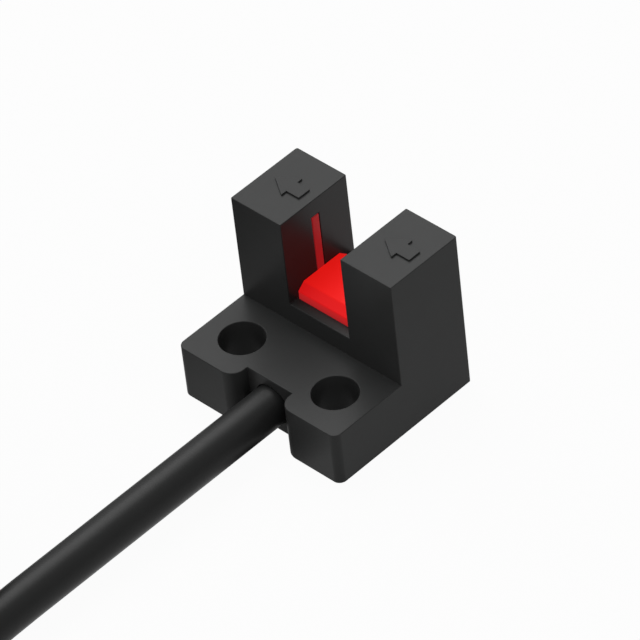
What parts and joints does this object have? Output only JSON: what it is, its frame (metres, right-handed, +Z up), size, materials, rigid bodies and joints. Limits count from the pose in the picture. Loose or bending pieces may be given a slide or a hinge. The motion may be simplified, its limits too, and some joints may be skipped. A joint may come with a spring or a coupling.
{
  "type": "fork sensor",
  "caption": "Small U-shaped photoelectric sensor: black moulded housing with a sensing slot between prongs, red slit cover, screw holes in a front shelf and a fixed cable.",
  "frame": {"origin": "middle of the housing's underside, on the mounting surface", "axes": "+Z up out of the mounting surface, +Y from the mounting shelf to the prongs, +X across the slot; the cable leaves towards -Y"},
  "size_m": [0.0467, 0.067, 0.0121],
  "materials": {
    "black_moulding": "fine moulded satin",
    "red_clear_moulding": "clear red, lit from below",
    "board_laminate": "solder mask",
    "clear_resin": "clear cast resin",
    "dark_resin": "dark cast resin",
    "tinned_metal": "tinned",
    "chip_moulding": "matt moulding compound",
    "lamp_resin": "milky resin",
    "resistor_film": "glazed film",
    "capacitor_ceramic": "fired ceramic",
    "brass_band": "pressed",
    "bare_copper": "drawn wire",
    "cable_jacket": "satin extrusion",
    "tie_nylon": "moulded nylon",
    "brown_insulation": "satin extrusion",
    "blue_insulation": "satin extrusion",
    "black_insulation": "satin extrusion",
    "white_insulation": "satin extrusion"
  },
  "bodies": {
    "root": {"housing": "black_moulding", "base_cover": "black_moulding", "slit_cover": "red_clear_moulding", "circuit_board": "board_laminate", "emitter": "clear_resin", "receiver": "dark_resin", "emitter_leads": "tinned_metal", "receiver_leads": "tinned_metal", "solder_joints": "tinned_metal", "lead_tips": "tinned_metal", "control_chip": "chip_moulding", "output_transistors": "chip_moulding", "protection_diodes": "chip_moulding", "indicator_lamps": "lamp_resin", "resistors": "resistor_film", "capacitors": "capacitor_ceramic", "crimp_ring": "brass_band", "core_wires": "bare_copper", "cable": "cable_jacket", "cable_coil": "cable_jacket", "cable_end": "cable_jacket", "coil_tie": "tie_nylon", "core_brown": "brown_insulation", "core_blue": "blue_insulation", "core_black": "black_insulation", "core_white": "white_insulation", "lead_brown": "brown_insulation", "lead_blue": "blue_insulation", "lead_black": "black_insulation", "lead_white": "white_insulation"}
  },
  "joints": []
}
